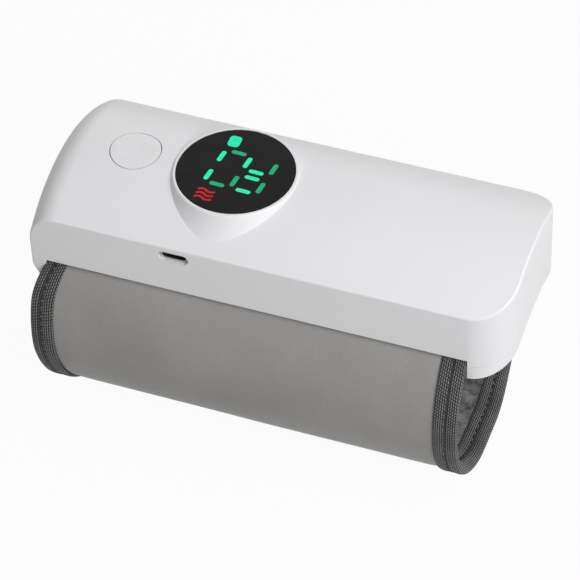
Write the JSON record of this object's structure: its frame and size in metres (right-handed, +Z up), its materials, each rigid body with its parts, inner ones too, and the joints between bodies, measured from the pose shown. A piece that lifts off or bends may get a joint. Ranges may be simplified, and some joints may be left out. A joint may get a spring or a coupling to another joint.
{
  "type": "bottle warmer",
  "caption": "Portable bottle warmer: arched housing with round display and button over a soft heated sleeve that a feeding bottle slides through.",
  "frame": {"origin": "middle of the footprint on the surface that the sleeve rests on", "axes": "+X along the bottle towards the square end, +Y to the back away from the charging socket, +Z up"},
  "size_m": [0.16, 0.0806, 0.095],
  "materials": {
    "white_shell": "satin moulded white",
    "cover_plastic": "satin moulded white",
    "display_black": "gloss black window",
    "light_bright": "lit green",
    "light_dim": "dim green",
    "light_status": "lit green",
    "light_heat": "lit red",
    "frame_white": "matte white",
    "board_green": "solder mask",
    "parts_black": "matte black",
    "socket_steel": "drawn steel",
    "socket_tongue": "matte black",
    "button_white": "satin moulded white",
    "cell_wrap": "shrink wrap",
    "cradle_plastic": "matte",
    "foam": "foam",
    "strip_nickel": "nickel",
    "lead_rubber": "insulated wire",
    "screw_steel": "zinc",
    "bar_plastic": "matte",
    "film_orange": "polyimide film",
    "leather": "smooth fine-grain warm grey",
    "padding_foam": "needled felt",
    "plush": "short pile plush",
    "webbing": "ribbed webbing with stitch line",
    "sensor_metal": "satin"
  },
  "bodies": {
    "warmer": {"top_shell": "white_shell", "bottom_cover": "cover_plastic", "display_window": "display_black", "digit_windows_bright": "light_bright", "digit_windows_dim": "light_dim", "status_window": "light_status", "heat_window": "light_heat", "led_frame": "frame_white", "control_board": "board_green", "main_board": "board_green", "power_components": "parts_black", "board_header": "parts_black", "led_chips": "parts_black", "switch_body": "parts_black", "usb_socket_shell": "socket_steel", "usb_socket_tongue": "socket_tongue", "battery_cells": "cell_wrap", "battery_cradle": "cradle_plastic", "battery_plug": "cradle_plastic", "battery_pads": "foam", "battery_strips": "strip_nickel", "battery_leads": "lead_rubber", "board_screws": "screw_steel", "case_screws": "screw_steel", "hem_bar_front": "bar_plastic", "hem_bar_back": "bar_plastic", "film_tails": "film_orange", "heating_film": "film_orange", "sleeve_cover": "leather", "sleeve_padding": "padding_foam", "sleeve_lining": "plush", "cavity_pad": "plush", "binding_left": "webbing", "binding_right": "webbing", "temperature_sensor": "sensor_metal"},
    "button": {"power_button": "button_white"},
    "plunger": {"switch_plunger": "socket_tongue"}
  },
  "joints": [
    {"name": "button_press", "type": "slide", "parent": "warmer", "child": "button", "axis": [0, 0, -1], "range_m": [0, 0.0004], "stiffness_N_per_m": 1500, "springref_m": -0.0005},
    {"name": "plunger_press", "type": "slide", "parent": "warmer", "child": "plunger", "axis": [0, 0, -1], "range_m": [0, 0.0004]}
  ],
  "couplings": [
    {"joint": "plunger_press", "follows": "button_press", "ratio": 1}
  ]
}
